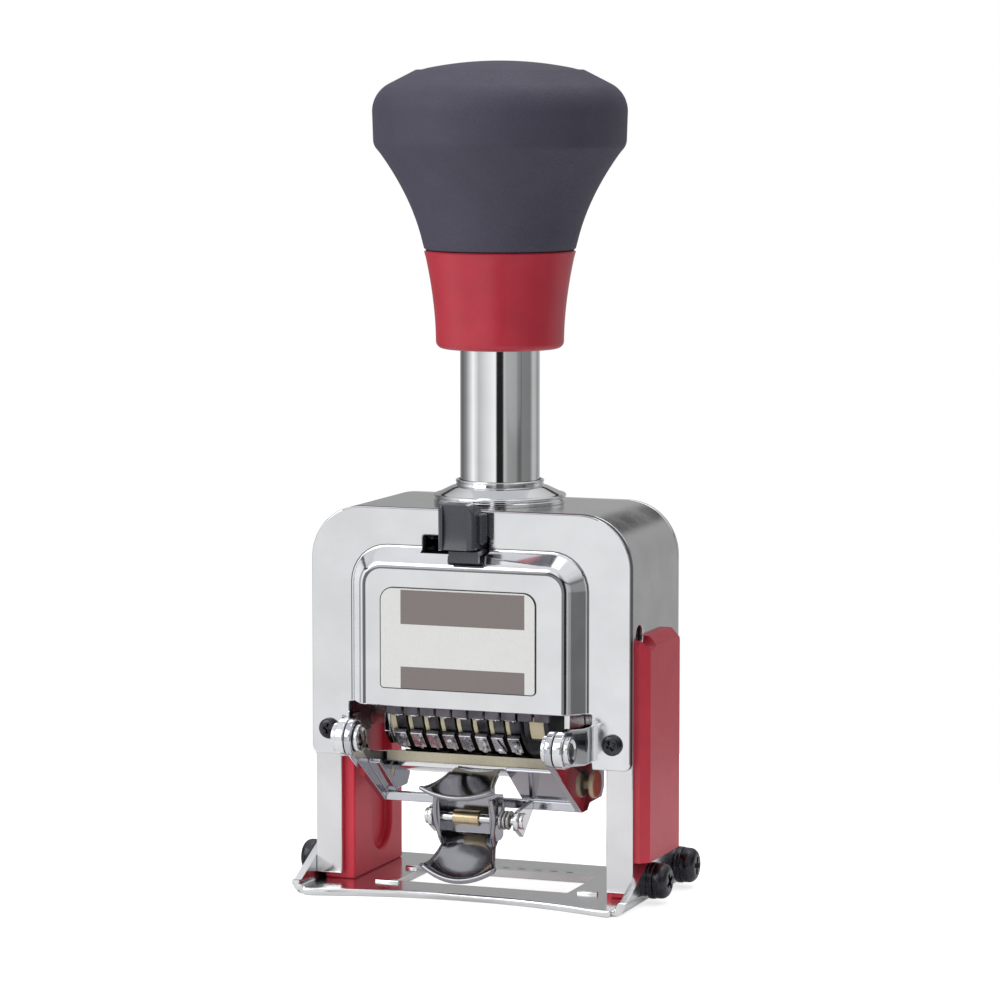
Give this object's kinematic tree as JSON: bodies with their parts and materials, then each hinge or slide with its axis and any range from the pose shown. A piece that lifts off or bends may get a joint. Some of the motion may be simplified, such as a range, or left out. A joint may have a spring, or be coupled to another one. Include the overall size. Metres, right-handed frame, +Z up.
{
  "type": "numbering machine",
  "caption": "Hand numbering machine: sprung plunger with number wheels in a plated case, swinging ink pad and slotted base.",
  "frame": {"origin": "middle of the machine's footprint on the surface it stands on; the stem's axis is 2.45 mm behind it", "axes": "+Z up along the stem, +X across the machine along the wheel shaft, +Y from the badge side to the back"},
  "size_m": [0.0806, 0.0573, 0.1707],
  "materials": {
    "chrome": "polished nickel-chrome plate",
    "steel": "plain drawn steel",
    "red_plastic": "semi-gloss moulded, fine texture",
    "soft_grip": "matt soft-touch, finely pebbled",
    "black_plastic": "satin moulded",
    "black_screw": "black oxide",
    "rubber": "matt",
    "type_metal": "dark plated, ink stained",
    "cream_plastic": "satin moulded",
    "badge": "printed plate, bare",
    "felt": "dry felt",
    "brass": "turned"
  },
  "bodies": {
    "case": {"base_plate": "chrome", "case_band": "chrome", "front_plate": "chrome", "back_plate": "chrome", "name_badge": "badge", "left_guide_block": "red_plastic", "right_guide_block": "red_plastic", "side_cover": "red_plastic", "guide_bush": "chrome", "flange_washer": "chrome", "flange_nut": "chrome", "base_washers": "black_screw", "base_screws": "black_screw", "plate_screws": "black_screw", "side_screws": "black_screw", "hinge_rivets": "chrome", "spring_hangers": "steel", "return_springs": "steel"},
    "plunger": {"grip": "soft_grip", "grip_cap": "soft_grip", "collar": "red_plastic", "stem": "chrome", "stop_washer": "rubber", "stem_nut": "chrome", "inner_frame": "chrome", "wheel_shaft": "chrome", "end_ring": "chrome", "repeat_disc": "black_plastic", "index_window": "cream_plastic", "detent_comb": "type_metal", "pawl_shaft": "steel", "feed_pawl": "steel", "guide_rollers": "steel"},
    "pad_arm": {"pad_carrier": "chrome", "pad_tray": "chrome", "ink_pad": "felt", "side_rollers": "cream_plastic", "finger_tab": "chrome", "clip_bracket": "chrome", "clip_axle": "chrome", "clip_roller": "brass", "clip_spring": "steel"},
    "clip": {"clip_lever": "chrome"},
    "selector": {"selector_knob": "black_plastic"},
    "wheel_1": {"number_wheel_1": "type_metal", "ratchet_1": "cream_plastic"},
    "wheel_2": {"number_wheel_2": "type_metal", "ratchet_2": "cream_plastic"},
    "wheel_3": {"number_wheel_3": "type_metal", "ratchet_3": "cream_plastic"},
    "wheel_4": {"number_wheel_4": "type_metal", "ratchet_4": "cream_plastic"},
    "wheel_5": {"number_wheel_5": "type_metal", "ratchet_5": "cream_plastic"},
    "wheel_6": {"number_wheel_6": "type_metal", "ratchet_6": "cream_plastic"},
    "wheel_7": {"number_wheel_7": "type_metal", "ratchet_7": "cream_plastic"},
    "wheel_8": {"number_wheel_8": "type_metal", "ratchet_8": "cream_plastic"}
  },
  "joints": [
    {"name": "plunger_press", "type": "slide", "parent": "case", "child": "plunger", "axis": [0, 0, -1], "range_m": [0, 0.0264], "stiffness_N_per_m": 700, "springref_m": -0.012, "deforming": ["return_springs"]},
    {"name": "pad_swing", "type": "hinge", "parent": "case", "child": "pad_arm", "pos_m": [0, -0.02485, 0.0335], "axis": [-1, 0, 0], "range_deg": [0, 111]},
    {"name": "clip_pinch", "type": "hinge", "parent": "pad_arm", "child": "clip", "pos_m": [0, -0.01645, 0.017], "axis": [-1, 0, 0], "range_deg": [0, 22], "stiffness_Nm_per_rad": 0.03, "springref_deg": -20.05},
    {"name": "selector_slide", "type": "slide", "parent": "case", "child": "selector", "axis": [-1, 0, 0], "range_m": [0, 0.0068]},
    {"name": "wheel_1_turn", "type": "hinge", "parent": "plunger", "child": "wheel_1", "pos_m": [-0.0158, -0.00155, 0.0407], "axis": [1, 0, 0], "continuous": true},
    {"name": "wheel_2_turn", "type": "hinge", "parent": "plunger", "child": "wheel_2", "pos_m": [-0.01225, -0.00155, 0.0407], "axis": [1, 0, 0], "continuous": true},
    {"name": "wheel_3_turn", "type": "hinge", "parent": "plunger", "child": "wheel_3", "pos_m": [-0.0087, -0.00155, 0.0407], "axis": [1, 0, 0], "continuous": true},
    {"name": "wheel_4_turn", "type": "hinge", "parent": "plunger", "child": "wheel_4", "pos_m": [-0.00515, -0.00155, 0.0407], "axis": [1, 0, 0], "continuous": true},
    {"name": "wheel_5_turn", "type": "hinge", "parent": "plunger", "child": "wheel_5", "pos_m": [-0.0016, -0.00155, 0.0407], "axis": [1, 0, 0], "continuous": true},
    {"name": "wheel_6_turn", "type": "hinge", "parent": "plunger", "child": "wheel_6", "pos_m": [0.00195, -0.00155, 0.0407], "axis": [1, 0, 0], "continuous": true},
    {"name": "wheel_7_turn", "type": "hinge", "parent": "plunger", "child": "wheel_7", "pos_m": [0.0055, -0.00155, 0.0407], "axis": [1, 0, 0], "continuous": true},
    {"name": "wheel_8_turn", "type": "hinge", "parent": "plunger", "child": "wheel_8", "pos_m": [0.00905, -0.00155, 0.0407], "axis": [1, 0, 0], "continuous": true}
  ],
  "couplings": [
    {"joint": "pad_swing", "follows": "plunger_press", "rad_per_m": 72.6}
  ]
}
